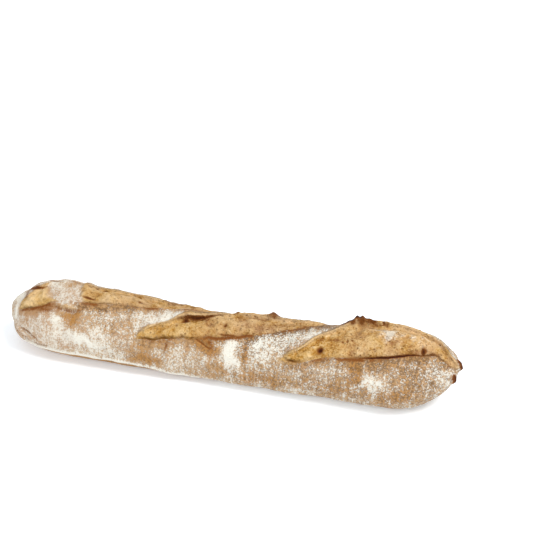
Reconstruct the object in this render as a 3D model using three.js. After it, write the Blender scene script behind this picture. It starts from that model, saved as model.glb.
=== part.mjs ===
// A short rustic baguette: one solid of crust and crumb. Three long slashes run
// aslant over its crown. Each has opened into a wide torn strip with a thin dark
// lip at the front and a raised, ragged ear at the back. Lengths are in mm.
// +X runs along the loaf to its tapered end, -Y is the front, +Z is up, and the
// origin lies on the resting face, under the middle of the loaf's bounding box.
import * as THREE from "three";

// ---- Driving dimensions ----
const LENGTH = 300;
const HEIGHT_SHARE = 0.755; // a section's height over its width
const BELLY_SHARE = 0.42; // height of a section's widest line over its height
const FOOT_CUT = 1.3; // how much of the round underside the resting face takes off
const LOWER_FULLNESS = 2.6; // superellipse power of a section under the belly

// Half widths and sideways shifts of the loaf at stations along its length.
const STATIONS = [
  { at: -150, half: 25.7, shift: -2.0 },
  { at: -122, half: 27.0, shift: -3.2 },
  { at: -95, half: 27.6, shift: -3.5 },
  { at: -65, half: 25.6, shift: -3.9 },
  { at: -30, half: 23.8, shift: -4.2 },
  { at: 5, half: 23.5, shift: -4.3 },
  { at: 40, half: 24.7, shift: -2.8 },
  { at: 75, half: 26.8, shift: -1.2 },
  { at: 100, half: 27.8, shift: -1.2 },
  { at: 125, half: 27.1, shift: -0.6 },
  { at: 150, half: 26.8, shift: 1.9 },
];

// The ends close over a cap: length, squareness, and height of the tip over the section's.
const BLUNT_END = { length: 38, power: 2, tip: 0.51 };
const TAPERED_END = { length: 42, power: 2, tip: 0.64 };

// A slash opens between two lips. The front lip leaves at fromTurn and arrives at toTurn,
// in degrees round the loaf from its crown towards the front, and is bowed between. Past share
// hook it bends back by hookBend degrees, and at its very end it swings forward by flare.
// nudges shift the front lip, and overlap the back lip, by turn round a place along the loaf.
// The gap to the back lip grows to spread degrees at share peak of the slash's length, and
// narrows past it by the power narrowing. The slash heals over the last share closing.
const SLASHES = [
  {
    from: -142, to: -4, fromTurn: 50, toTurn: -20, bow: -3, bowPeak: 0.5,
    hook: 0.75, hookBend: 14, flare: 0,
    nudges: [{ at: -116, along: 8, turn: -5 }],
    overlap: { at: -118, along: 10, turn: 0, cave: 0 },
    spread: 45, peak: 0.12, rise: 0.4, narrowing: 0.8, closing: 0.14,
    ear: 2.4, crack: 2.0, hollow: 1.2, seed: 35,
  },
  {
    from: -56, to: 66, fromTurn: 60, toTurn: -19, bow: 10, bowPeak: 0.69,
    hook: 0.9, hookBend: 14, flare: 0,
    nudges: [{ at: -41, along: 9, turn: 2 }, { at: -9, along: 7, turn: -3 }],
    overlap: { at: -19, along: 13, turn: 6, cave: 2.2 },
    spread: 62, peak: 0.345, rise: 0.7, narrowing: 0.8, closing: 0.14,
    ear: 2.6, crack: 2.2, hollow: 1.7, seed: 47,
  },
  {
    from: 41, to: 149, fromTurn: 55, toTurn: 16, bow: 1.5, bowPeak: 0.65,
    hook: 0.6, hookBend: 8, flare: 32,
    nudges: [{ at: 53, along: 10, turn: 6 }, { at: 100, along: 14, turn: 3 }],
    overlap: { at: 62, along: 16, turn: 2, cave: 0 },
    spread: 66, peak: 0.36, rise: 0.95, narrowing: 0.55, closing: 0.02,
    ear: 3.0, crack: 2.8, hollow: 0.6, seed: 27,
  },
];
const OPENING = 0.06; // share of a slash's length over which it opens
const FLARE_START = 0.86; // share of its length where its front lip starts to swing forward
const OVERLAP_START = 0.15; // share of its length over which its back lip starts to overlap
// The strip of crust that still spans the first slash: its two edges along the loaf, by turn.
const BRIDGE = {
  turns: [-60, 5, 22, 33, 50],
  near: [-124, -123, -118, -106, -103],
  far: [-103, -98, -95.5, -94, -94],
  edge: 3,
};
const LEAST_GAP = 0.5;
const FULL_GAP = 7; // a gap as wide as this has its lips and crumb at full height

// The ear is the crust behind the back lip, lifted and leaning over the torn strip.
const EAR = {
  reach: 11, // how far behind the lip it is lifted
  fall: 2.4, // width of the step from it down into the strip
  lean: 0.8, // how far its edge leans over the strip
  leanBack: 2.5, // how far behind the edge it leans
  leanFall: 1.4,
  tongue: 13, // length of its ragged tongues and notches
  slant: 0.2, // how the tongues slant, in mm a degree
  uneven: 0.55, // share by which its height varies
};
const HOLLOW = { behind: 4.6, width: 2.6 }; // trough along the foot of the ear
const CAVE = { behind: 3.2, width: 2.2 }; // deeper pocket under an ear that hangs forward
const LIP = { lift: 1.2, reach: 5, fall: 1.4 }; // raised edge of the crust in front of a slash
// The groove inside the front lip, which closes here and there along the slash.
const CRACK = { half: 1.7, stretch: 19, shut: -0.75, full: 0.35, seed: 20 };
const OVERHANG = { reach: 0.6, behind: 3, half: 2 }; // crumb pushed forwards over the groove
const TORN_SWELL = 1.5; // how far the crumb swells out of the strip
const TORN_INSET = 3; // how far inside the lips its lumps reach full height
const TORN_LUMPS = [
  { size: 9, height: 0.9, seed: 31 },
  { size: 6, height: 0.5, seed: 32 },
];
const CRUST_LUMPS = [
  { size: 38, height: 1.5, seed: 11 },
  { size: 15, height: 0.8, seed: 49 },
  { size: 8, height: 0.3, seed: 13 },
];

// Single features on the skin: place, half length along, half width around, and height out
// of the skin, or depth where it is negative.
const FEATURES = [
  { name: "bridge fold", at: -106, turn: 20, along: 9, around: 9, height: 1.6 },
  { name: "bridge tongue", at: -106, turn: 31, along: 5.5, around: 2.6, height: 1.3 },
  { name: "rim of the bridge", at: -102, turn: 30, along: 7, around: 3, height: 1.6 },
  { name: "bridge crest", at: -111, turn: -26, along: 12, around: 8, height: 1.3 },
  { name: "dip beyond the bridge", at: -92, turn: -28, along: 8, around: 8, height: -1.0 },
  { name: "end crust", at: -147, turn: 5, along: 6, around: 10, height: 1.5 },
  { name: "curled ear", at: -128, turn: -7, along: 9, around: 4, height: 1.7 },
  { name: "low corner", at: -137, turn: 92, along: 6, around: 8, height: 2.6 },
  { name: "bowl under the ear", at: -15, turn: 12, along: 9, around: 5, height: -1.0 },
  { name: "low ear", at: -17, turn: -22, along: 9, around: 8, height: -2.2 },
  { name: "ear swell", at: 2, turn: -33, along: 8, around: 5, height: 0.8 },
  { name: "ear bead", at: 27, turn: -38, along: 4, around: 4, height: 1.4 },
  { name: "waist between slashes", at: 69, turn: -26, along: 8, around: 12, height: -0.5 },
  { name: "burnt crest", at: 86, turn: -30, along: 7, around: 5, height: 2.8 },
  { name: "crest shoulder", at: 100, turn: -29, along: 9, around: 5, height: 1.0 },
  { name: "lower bulge", at: 114, turn: 92, along: 11, around: 10, height: 1.4 },
];
// The floured rim over the underside, higher at the blunt end than at the tapered one.
const RIM = { bluntHeight: 9, height: 5.2, from: -60, to: -15, width: 1.8, lift: 0.8 };
const GIRTH_SHARE = 0.95; // a section's mean radius over its half width
const FOOT_FADE = [0.5, 7]; // heights over which the lumps fade towards the underside
const TIP_FADE = { lumps: [0, 0.5], slashes: [0.3, 0.9], around: 0.3 }; // shares of a full section
// Burnt tails of dough that stand out of the tapered end, and the length they rise over.
const NIBS = [
  { side: -1.4, height: 30, reach: 3.2, across: 2.6, tall: 5 },
  { side: -10, height: 23.5, reach: 2.8, across: 2.6, tall: 5 },
];
const NIB_ROOT = 8.4;

// ---- Mesh ----
const BLUNT_RINGS = 12;
const BODY_RINGS = 66;
const TAPERED_RINGS = 15;
const SIDES = 64;
const TIP_STEP = 0.6; // how far an end's last point stands beyond its last ring
// How far apart a ring's points lie: at the lips of a slash, over the crown, and underneath.
const SPACING = { lips: 1.0, crown: 2.4, under: 4.6, lipReach: 2.6 };
const CROWDING_RAMP = 0.24; // share of a slash's length over which its lips draw the points in
const CROWN = { back: -75, front: 80, edge: 15 }; // the finer part of a ring, in degrees
const TURN_STEPS = 720; // steps in which a ring's points are measured out

const RAD = Math.PI / 180;
const clamp = (v, lo, hi) => Math.min(hi, Math.max(lo, v));
const smooth = (lo, hi, v) => {
  const t = clamp((v - lo) / (hi - lo), 0, 1);
  return t * t * (3 - 2 * t);
};

// Smooth seeded noise from -1 to 1 on a lattice of the given cell size.
function lattice(i, j, k, seed) {
  let h = Math.imul(i, 374761393) ^ Math.imul(j, 668265263) ^ Math.imul(k, 2147483629);
  h = Math.imul(h ^ Math.imul(seed, 40503), 1274126177);
  h = Math.imul(h ^ (h >>> 15), 2246822519);
  return ((h ^ (h >>> 13)) >>> 0) / 4294967295;
}

function noise(x, y, z, size, seed) {
  const [gx, gy, gz] = [x / size, y / size, z / size];
  const [i, j, k] = [Math.floor(gx), Math.floor(gy), Math.floor(gz)];
  const [u, v, w] = [gx - i, gy - j, gz - k].map((t) => t * t * (3 - 2 * t));
  let sum = 0;
  for (const a of [0, 1])
    for (const b of [0, 1])
      for (const c of [0, 1])
        sum +=
          (a ? u : 1 - u) * (b ? v : 1 - v) * (c ? w : 1 - w) *
          lattice(i + a, j + b, k + c, seed);
  return 2 * sum - 1;
}

const layered = (p, layers) =>
  layers.reduce((sum, l) => sum + l.height * noise(p.x, p.y, p.z, l.size, l.seed), 0);

// ---- The plain loaf, before it was slashed ----
// A smooth curve through the stations, with no overshoot between them.
function station(along, key) {
  const n = STATIONS.length;
  const k = clamp(STATIONS.findIndex((s) => s.at >= along) - 1, 0, n - 2);
  const slope = (i) => {
    if (i < 0 || i > n - 2) return 0;
    return (STATIONS[i + 1][key] - STATIONS[i][key]) / (STATIONS[i + 1].at - STATIONS[i].at);
  };
  const tangent = (i) => {
    const [before, after] = [slope(i - 1), slope(i)];
    return before * after <= 0 ? 0 : (2 * before * after) / (before + after);
  };
  const run = STATIONS[k + 1].at - STATIONS[k].at;
  const t = clamp((along - STATIONS[k].at) / run, 0, 1);
  const [t2, t3] = [t * t, t * t * t];
  return (
    (2 * t3 - 3 * t2 + 1) * STATIONS[k][key] +
    (t3 - 2 * t2 + t) * run * tangent(k) +
    (3 * t2 - 2 * t3) * STATIONS[k + 1][key] +
    (t3 - t2) * run * tangent(k + 1)
  );
}

// Each ring's place along the loaf and how far it has closed towards the tip.
function ringPlaces() {
  const rings = [];
  for (let i = 1; i < BLUNT_RINGS; i++) {
    const a = (Math.PI / 2) * (1 - i / BLUNT_RINGS);
    rings.push({
      along: -LENGTH / 2 + BLUNT_END.length * (1 - Math.sin(a) ** (2 / BLUNT_END.power)),
      open: Math.cos(a) ** (2 / BLUNT_END.power),
    });
  }
  const body = LENGTH - BLUNT_END.length - TAPERED_END.length;
  for (let i = 0; i < BODY_RINGS; i++)
    rings.push({
      along: -LENGTH / 2 + BLUNT_END.length + (body * i) / (BODY_RINGS - 1),
      open: 1,
    });
  for (let i = 1; i < TAPERED_RINGS; i++) {
    const a = ((Math.PI / 2) * i) / TAPERED_RINGS;
    rings.push({
      along: LENGTH / 2 - TAPERED_END.length * (1 - Math.sin(a) ** (2 / TAPERED_END.power)),
      open: Math.cos(a) ** (2 / TAPERED_END.power),
    });
  }
  return rings;
}

// The point of the plain loaf at a ring and a turn in degrees from the crown to the front.
function plainPoint(ring, turn) {
  const half = station(ring.along, "half");
  const height = 2 * half * HEIGHT_SHARE;
  const belly = BELLY_SHARE * height;
  const [s, c] = [Math.sin(turn * RAD), Math.cos(turn * RAD)];
  const blunting = 2 / LOWER_FULLNESS;
  const y = -half * (c >= 0 ? s : Math.sign(s) * Math.abs(s) ** blunting);
  const z = c >= 0 ? belly + (height - belly) * c : belly * (1 - Math.abs(c) ** blunting);
  const tip = (ring.along < 0 ? BLUNT_END.tip : TAPERED_END.tip) * height;
  return new THREE.Vector3(
    ring.along,
    station(ring.along, "shift") + ring.open * y,
    tip + ring.open * (z - tip),
  );
}

// ---- Slashes ----
const bell = (distance, width) => Math.exp(-((distance / width) ** 2));

// Where a point lies in a slash: how open it is there, how far the point is behind the front
// lip and behind the back lip, and the gap between them, in mm round the loaf.
function inSlash(slash, along, turn, mmPerDegree) {
  const share = (along - slash.from) / (slash.to - slash.from);
  const s = clamp(share, 0, 1);
  const past = (s - slash.bowPeak) / (s < slash.bowPeak ? slash.bowPeak : 1 - slash.bowPeak);
  let front = slash.fromTurn + (slash.toTurn - slash.fromTurn) * s + slash.bow * (1 - past ** 2);
  front += slash.flare * smooth(FLARE_START, 1, s) - slash.hookBend * smooth(slash.hook, 1, s);
  const beyond = (s - slash.peak) / (1 - slash.peak);
  const width =
    s < slash.peak ? (s / slash.peak) ** slash.rise : (1 - beyond ** 2) ** slash.narrowing;
  const hanging = bell(along - slash.overlap.at, slash.overlap.along);
  const overlap = slash.overlap.turn * hanging * smooth(0, OVERLAP_START, s);
  const back = front - slash.spread * width + overlap;
  for (const nudge of slash.nudges) front += nudge.turn * bell(along - nudge.at, nudge.along);
  return {
    share,
    open: smooth(0, OPENING, share) * smooth(0, slash.closing, 1 - share),
    behindFront: (front - turn) * mmPerDegree,
    behindBack: (back - turn) * mmPerDegree,
    gap: Math.max((front - back) * mmPerDegree, LEAST_GAP),
    cave: slash.overlap.cave * hanging,
  };
}

// The value of a broken line through (xs, ys) at x.
function brokenLine(xs, ys, x) {
  const k = clamp(xs.filter((v) => v < x).length - 1, 0, xs.length - 2);
  const t = clamp((x - xs[k]) / (xs[k + 1] - xs[k]), 0, 1);
  return ys[k] + (ys[k + 1] - ys[k]) * t;
}

// The share of whole crust left, where a strip of it still spans a slash.
function bridged(place, turn) {
  const pastNear = place - brokenLine(BRIDGE.turns, BRIDGE.near, turn);
  const beforeFar = brokenLine(BRIDGE.turns, BRIDGE.far, turn) - place;
  return smooth(-BRIDGE.edge, BRIDGE.edge, Math.min(pastNear, beforeFar));
}

// How far a slash moves the skin: out along its normal, and forwards round the loaf.
function slashMove(slash, point, along, turn, mmPerDegree) {
  const { open, behindFront, behindBack, gap, cave } = inSlash(slash, along, turn, mmPerDegree);
  if (open === 0) return { out: 0, forward: 0 };
  const tongues = noise(along, turn * EAR.slant, 0, EAR.tongue, slash.seed);
  const ear = slash.ear * (1 + EAR.uneven * tongues);
  const broken = noise(along, 0, 0, CRACK.stretch, slash.seed + CRACK.seed);
  const crack = slash.crack * smooth(CRACK.shut, CRACK.full, broken);
  let out = 0;
  let forward = 0;
  if (behindFront < 0) {
    out = LIP.lift * Math.exp(behindFront / LIP.reach);
  } else if (behindBack > 0) {
    out = ear * bell(behindBack, EAR.reach);
    forward = EAR.lean * Math.exp(-behindBack / EAR.leanBack);
  } else {
    const inside = smooth(0, TORN_INSET, Math.min(behindFront, -behindBack));
    out =
      LIP.lift * Math.exp(-behindFront / LIP.fall) -
      crack * bell(behindFront - CRACK.half, CRACK.half) +
      TORN_SWELL * Math.sin((Math.PI * behindFront) / gap) +
      layered(point, TORN_LUMPS) * inside -
      slash.hollow * bell(behindBack + HOLLOW.behind, HOLLOW.width) -
      cave * bell(behindBack + CAVE.behind, CAVE.width) +
      ear * Math.exp(behindBack / EAR.fall);
    forward =
      EAR.lean * Math.exp(behindBack / EAR.leanFall) +
      OVERHANG.reach * bell(behindFront - OVERHANG.behind, OVERHANG.half);
  }
  const fade = open * smooth(0, FULL_GAP, gap) * (1 - bridged(along, turn));
  return { out: out * fade, forward: forward * fade };
}

// ---- The skin as baked ----
function bakedPoint(ring, turn, plain, normal, forwards) {
  const mmPerDegree = station(ring.along, "half") * GIRTH_SHARE * RAD;
  const clearOfFoot = smooth(...FOOT_FADE, plain.z - FOOT_CUT);
  const clearOfTip = smooth(...TIP_FADE.slashes, ring.open);
  let out = layered(plain, CRUST_LUMPS) * clearOfFoot * smooth(...TIP_FADE.lumps, ring.open);
  let forward = 0;
  for (const slash of SLASHES) {
    const move = slashMove(slash, plain, ring.along, turn, mmPerDegree);
    out += move.out * clearOfTip;
    forward += move.forward * clearOfTip;
  }
  for (const feature of FEATURES) {
    const around = (feature.turn - turn) * mmPerDegree * Math.max(ring.open, TIP_FADE.around);
    const near = bell(ring.along - feature.at, feature.along) * bell(around, feature.around);
    out += feature.height * near;
  }
  const rim = RIM.height + (RIM.bluntHeight - RIM.height) * smooth(RIM.to, RIM.from, ring.along);
  out += RIM.lift * bell(plain.z - FOOT_CUT - rim, RIM.width) * ring.open;
  return plain.clone().addScaledVector(normal, out).addScaledVector(forwards, forward);
}

// How closely a ring's points stand at a turn, in points a mm.
function crowding(ring, turn, mmPerDegree) {
  const crown =
    smooth(CROWN.back - CROWN.edge, CROWN.back + CROWN.edge, turn) *
    smooth(CROWN.front + CROWN.edge, CROWN.front - CROWN.edge, turn);
  let sum = 1 / SPACING.under + (1 / SPACING.crown - 1 / SPACING.under) * crown;
  for (const slash of SLASHES) {
    const { share, behindFront, behindBack } = inSlash(slash, ring.along, turn, mmPerDegree);
    const near = bell(behindFront, SPACING.lipReach) + bell(behindBack, SPACING.lipReach);
    const drawn = smooth(0, CROWDING_RAMP, share) * smooth(0, CROWDING_RAMP, 1 - share);
    sum += (1 / SPACING.lips - 1 / SPACING.crown) * near * drawn;
  }
  return sum;
}

// The turns of a ring's points, from -180 to 180 degrees. They crowd together at the lips, so
// that lines of the mesh run along the slashes.
function turnsOf(ring) {
  const mmPerDegree = station(ring.along, "half") * GIRTH_SHARE * RAD;
  const turnAt = (k) => -180 + (360 * k) / TURN_STEPS;
  const passed = [0];
  for (let k = 0; k < TURN_STEPS; k++)
    passed.push(passed[k] + crowding(ring, turnAt(k + 0.5), mmPerDegree));
  const turns = [];
  for (let k = 0; k < TURN_STEPS; k++) {
    let wanted = ((turns.length + 0.5) / SIDES) * passed[TURN_STEPS];
    while (turns.length < SIDES && wanted <= passed[k + 1]) {
      turns.push(turnAt(k + (wanted - passed[k]) / (passed[k + 1] - passed[k])));
      wanted = ((turns.length + 0.5) / SIDES) * passed[TURN_STEPS];
    }
  }
  return turns;
}

function loafGeometry() {
  const rings = ringPlaces();
  const turns = rings.map(turnsOf);
  const plain = rings.map((ring, i) => turns[i].map((turn) => plainPoint(ring, turn)));
  const points = [];
  rings.forEach((ring, i) => {
    turns[i].forEach((turn, j) => {
      const here = plain[i][j];
      const before = plain[Math.max(i - 1, 0)][j];
      const after = plain[Math.min(i + 1, rings.length - 1)][j];
      const left = plain[i][(j + SIDES - 1) % SIDES];
      const right = plain[i][(j + 1) % SIDES];
      const forwards = right.clone().sub(left).normalize();
      const normal = forwards.clone().cross(after.clone().sub(before)).normalize();
      points.push(bakedPoint(ring, turn, here, normal, forwards));
    });
  });
  for (const p of points) {
    const end = smooth(LENGTH / 2 - NIB_ROOT, LENGTH / 2 - NIB_ROOT / 2, p.x);
    for (const nib of NIBS)
      p.x += nib.reach * end * bell(p.y - nib.side, nib.across) * bell(p.z - nib.height, nib.tall);
  }
  for (const p of points) p.z = Math.max(0, p.z - FOOT_CUT);

  const tips = [-1, 1].map((end) => {
    const ring = end < 0 ? points.slice(0, SIDES) : points.slice(-SIDES);
    const middle = ring.reduce((sum, p) => sum.add(p), new THREE.Vector3()).divideScalar(SIDES);
    return middle.setX(middle.x + end * TIP_STEP);
  });
  const [startTip, endTip] = [points.length, points.length + 1];
  points.push(...tips);

  const faces = [];
  for (let j = 0; j < SIDES; j++) {
    const next = (j + 1) % SIDES;
    faces.push(startTip, next, j);
    for (let i = 0; i < rings.length - 1; i++) {
      const [a, b] = [i * SIDES + j, i * SIDES + next];
      const [c, d] = [a + SIDES, b + SIDES];
      const [falling, rising] = [points[a].distanceTo(points[d]), points[b].distanceTo(points[c])];
      if (falling < rising) faces.push(a, b, d, a, d, c);
      else faces.push(a, b, c, b, d, c);
    }
    const last = (rings.length - 1) * SIDES;
    faces.push(last + j, last + next, endTip);
  }
  const geometry = new THREE.BufferGeometry().setFromPoints(points);
  geometry.setIndex(faces);
  geometry.computeVertexNormals();
  return geometry;
}

// Sets the loaf so that its bounding box stands centred on the origin.
function centred(geometry) {
  geometry.computeBoundingBox();
  const { min, max } = geometry.boundingBox;
  geometry.translate(-(min.x + max.x) / 2, -(min.y + max.y) / 2, -min.z);
  return geometry;
}

const crust = new THREE.MeshStandardMaterial({ color: 0xc8a077, roughness: 0.82, metalness: 0 });

const loaf = new THREE.Mesh(centred(loafGeometry()), crust);
loaf.name = "loaf";

const baguette = new THREE.Group();
baguette.name = "baguette";
baguette.add(loaf);

export default baguette;
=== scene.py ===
"""A short rustic baguette, dusted with flour, whose three slashes have torn open in the oven.

The loaf starts as a sphere with its poles along the loaf. Each ring of the sphere goes to a
section of the loaf, and the skin is then worked: lips, ears, cracks, torn crumb and blisters.
The form is in mm, along +X to the tapered end, with turns in degrees from the crown to the
front. What the baking did to each point of the skin is kept with it, along with the shade and
light painted on it, and the crust reads that.
"""

import math

import bpy
import numpy as np
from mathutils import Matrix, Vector


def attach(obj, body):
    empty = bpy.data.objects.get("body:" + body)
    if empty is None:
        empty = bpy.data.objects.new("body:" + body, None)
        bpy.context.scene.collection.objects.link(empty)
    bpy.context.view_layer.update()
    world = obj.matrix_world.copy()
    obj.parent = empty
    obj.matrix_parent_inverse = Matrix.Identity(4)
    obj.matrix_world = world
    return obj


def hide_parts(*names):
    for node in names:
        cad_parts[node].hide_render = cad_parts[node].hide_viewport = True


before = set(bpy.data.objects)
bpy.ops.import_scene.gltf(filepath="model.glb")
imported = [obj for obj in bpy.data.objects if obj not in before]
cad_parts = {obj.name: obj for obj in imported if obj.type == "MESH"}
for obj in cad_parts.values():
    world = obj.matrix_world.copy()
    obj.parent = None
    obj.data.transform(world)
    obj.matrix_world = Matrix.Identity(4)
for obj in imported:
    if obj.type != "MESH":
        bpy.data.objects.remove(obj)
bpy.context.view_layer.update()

# ---- Form: the solid's own dimensions, in mm ----
LENGTH = 300.0
HEIGHT_SHARE = 0.755
BELLY_SHARE = 0.42
FOOT_CUT = 1.3
LOWER_FULLNESS = 2.6
GIRTH_SHARE = 0.95
CENTRING = (-0.6845, 2.4061, 0.0)  # from the form's own axis to the middle of its box

STATIONS = np.array([  # place along, half width, sideways shift
    (-150, 25.7, -2.0),
    (-122, 27.0, -3.2),
    (-95, 27.6, -3.5),
    (-65, 25.6, -3.9),
    (-30, 23.8, -4.2),
    (5, 23.5, -4.3),
    (40, 24.7, -2.8),
    (75, 26.8, -1.2),
    (100, 27.8, -1.2),
    (125, 27.1, -0.6),
    (150, 26.8, 1.9),
])
BLUNT = dict(length=38.0, tip=0.51)
TAPERED = dict(length=42.0, tip=0.64)

# A slash opens between a front lip and a back lip. front gives the turns where its front lip
# leaves and arrives, bow bows it between, past share hook[0] it bends back by hook[1], and at
# its very end it swings forward by flare. nudges shift the front lip, and overlap the back lip,
# round a place along the loaf. spread, peak, rise and narrowing shape the gap, which heals over
# the last share closing, and wavy is how much the front lip strays. ear, crack, hollow and cave
# are relief, and the second number of cave is painted shade under the ear's rim. bare is how far
# crumb shows past the back lip, and rubbed is the flour lost before the front lip. dark, darkest
# and line darken the crust before the front lip and the groove, the groove partly by browning
# and partly by painted shade; ear_dark is browning on the ear's edge, and the key after it is
# painted shade under the ear.
SLASHES = [
    dict(start=-142, end=-4, front=(50, -20), bow=-3, bow_peak=0.5,
         spread=45, peak=0.12, rise=0.4, ear=2.4, crack=1.4,
         dark=0.6, darkest=(-118, 10, 0.4), line=0.9, ear_dark=0.3, pocket=0.2,
         hollow=1.0, hook=(0.75, 14), flare=0, wavy=0.5, closing=0.14, narrowing=0.8, rubbed=0.6,
         nudges=((-116, 8, -5),), overlap=(-118, 10, 0), cave=(0, 0), bare=1.2, seed=35),
    dict(start=-56, end=66, front=(60, -19), bow=10, bow_peak=0.69,
         spread=62, peak=0.345, rise=0.7, ear=2.6, crack=1.9,
         dark=0.5, darkest=(7, 13, 0.5), line=1.0, ear_dark=0.12, pocket=0.45,
         hollow=1.7, hook=(0.9, 14), flare=0, wavy=1.0, closing=0.14, narrowing=0.8, rubbed=0.4,
         nudges=((-41, 9, 2), (-9, 7, -3)), overlap=(-19, 13, 6),
         cave=(2.2, 1.0), bare=1.4, seed=47),
    dict(start=41, end=149, front=(55, 16), bow=1.5, bow_peak=0.65,
         spread=66, peak=0.36, rise=0.95, ear=3.0, crack=2.6,
         dark=0.5, darkest=(112, 18, 2.4), line=1.0, ear_dark=0.05, pocket=0.1,
         hollow=0.4, hook=(0.6, 8), flare=32, wavy=0.15, closing=0.02, narrowing=0.55, rubbed=0.3,
         nudges=((53, 10, 6), (100, 14, 3)), overlap=(62, 16, 2), cave=(0, 0), bare=2.0, seed=27),
]
OPENING = 0.06  # the share of its length over which a slash opens
OVERLAP_START = 0.15  # the share of its length over which its back lip starts to overlap
FLARE = 0.86  # the share of its length where a front lip may swing towards the front again
LEAST_GAP = 0.5  # so that a closed slash has a width to divide by
FULL_GAP = 7.0  # a gap as wide as this has its lips and crumb at full height
# The strip of crust that still spans the first slash: its two edges along the loaf, by turn.
BRIDGE = dict(
    turns=(-60, 5, 22, 33, 50),
    near=(-124, -123, -118, -106, -103),
    far=(-103, -98, -95.5, -94, -94),
    soft=(3.6, 2.2), ragged=1.8, cell=4, slant=0.4, seeds=(71, 72),
)
# The crust behind a back lip, lifted and leaning over the torn strip, with ragged tongues and a
# painted highlight along the lip.
EAR = dict(
    reach=11, fall=1.0, lean=2.2, lean_back=3.0, lean_fall=0.9,
    tongue=13, slant=0.2, uneven=0.55, highlight=1.4,
)
HOLLOW = dict(before=4.2, width=2.6)  # trough along the foot of an ear
# Deeper pocket under an ear that hangs forward, and the painted shade in it, under the ear's rim.
CAVE = dict(before=3.2, width=1.9, shade_before=1.0, shade_width=1.3)
LIP = dict(lift=0.9, reach=5, fall=0.6)  # raised edge of the crust in front of a slash
# The groove inside the front lip, which closes here and there along the slash.
CRACK = dict(behind=0.9, half=0.75, stretch=19, shut=-0.75, full=0.35, seed=20)
TORN_SWELL = 1.5  # how far the crumb swells out of the strip
RUBBED = 5.0  # how far in front of a lip the crust has less flour
TORN_INSET = 3.0  # how far inside the lips its lumps reach full height
LIP_WAVES = (14.0, 0.9)  # size and reach of the waves in the front lips
LIP_WANDER = [(6.0, 0.5), (2.4, 0.3)]  # the same for the notches in them
EAR_WANDER = [(9.0, 0.9), (3.4, 0.6)]  # and for those in the back lips
# Where a slash darkens: just before its front lip; in the groove, partly browning and partly
# painted shade, darker where the groove is deeper; browning on the ear's edge; and painted
# shade under the ear.
LIP_DARKENING = dict(before=0.9, width=1.4, most=0.75)
CRACK_BURN_AND_SHADE = dict(behind=0.6, least=0.35)
EAR_BURN = dict(width=0.8)
UNDER_EAR = dict(before=1.8, width=1.3)
PATCHES = dict(cell=8, slant=0.3, seed=30)  # in which a slash is barer and browner
RAGS = dict(cell=2.4, slant=0.3, seed=31)  # smaller ones within them

# Size, height and seed of each layer of lumps.
CRUST_LUMPS = [(38, 1.5, 11), (15, 0.8, 49), (8, 0.4, 13), (4.5, 0.24, 14), (2.2, 0.16, 15)]
TORN_LUMPS = [(9, 0.9, 31), (4.5, 0.9, 32), (2.2, 0.5, 33)]

# Place along, turn, half length, half width around, height.
FEATURES = [
    (-106, 20, 9, 9, 1.6),
    (-105, 27, 7, 4.5, 1.3),
    (-147, 5, 6, 10, 1.5),
    (-128, -7, 9, 4, 1.7),
    (-15, 12, 9, 5, -1.0),
    (-17, -22, 9, 8, -2.2),
    (2, -33, 8, 5, 0.8),
    (27, -38, 4, 4, 1.2),
    (69, -26, 8, 12, -0.5),
    (-137, 92, 6, 8, 2.6),
    (-111, -26, 12, 8, 1.3),
    (-92, -28, 8, 8, -1.0),
    (-101, 28, 6, 4.5, 1.0),
    (86, -30, 7, 5, 2.4),
    (100, -29, 9, 5, 1.0),
    (114, 92, 11, 10, 1.4),
]
# The floured rim over the underside: its height at the blunt end, and beyond.
RIM = dict(height=(9.0, 5.2), width=1.5, lift=0.8, along=(-60, -15))
NIBS = [  # burnt tails of dough on the tapered end: side, height, reach, half width, half height
    dict(side=-1.0, height=30.5, reach=3.4, width=2.0, tall=4.4),
    dict(side=-8.5, height=24.5, reach=2.8, width=1.9, tall=4.0),
]
NIB_ROOT = (9, 4)  # how far from the end the tails start, and are whole
FOOT_FADE = (0.5, 7)  # heights over which the lumps fade towards the underside
# Shares of a full section over which the work on the skin fades towards the tips.
TIP_FADE = dict(lumps=(0, 0.5), slashes=(0.15, 0.8), torn=(0.1, 0.5), pits=(0.2, 0.6))
TIP_AROUND = 0.3  # at a tip, turns are measured as on at least this share of a full ring
MM_PER_DEGREE = 0.44  # about what a degree is round the loaf, for the run of a fold
# Crumbly, gritty places: along, turn, half length, half width, height.
GRITTY = [
    (84, -29, 8, 2.6, 2.0),
    (102, -28, 7, 2.2, 1.1),
    (27, -38, 3.2, 2.2, 1.0),
    (4, -31, 2.2, 1.8, 0.8),
    (120, 100, 16, 9, 0.6),
    (60, 104, 40, 5, 0.3),
]
GRIT_SIZE = 2.1
# Burnt crumbs that stand up: along, turn, radius, height.
CRUMBS = [
    (82, -28, 1.9, 1.5),
    (85, -31, 1.3, 1.3),
    (87, -26, 1.1, 0.7),
    (90, -30, 1.7, 0.8),
    (96, -29, 1.0, 0.5),
    (102, -27, 1.8, 0.4),
    (74, -20, 1.8, 0.5),
    (77, -23, 2.0, 0.7),
    (93, -29, 1.3, 0.4),
    (99, -28, 1.2, 0.4),
    (27, -38, 1.6, 0.8),
    (4, -31, 1.3, 0.8),
]
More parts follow.
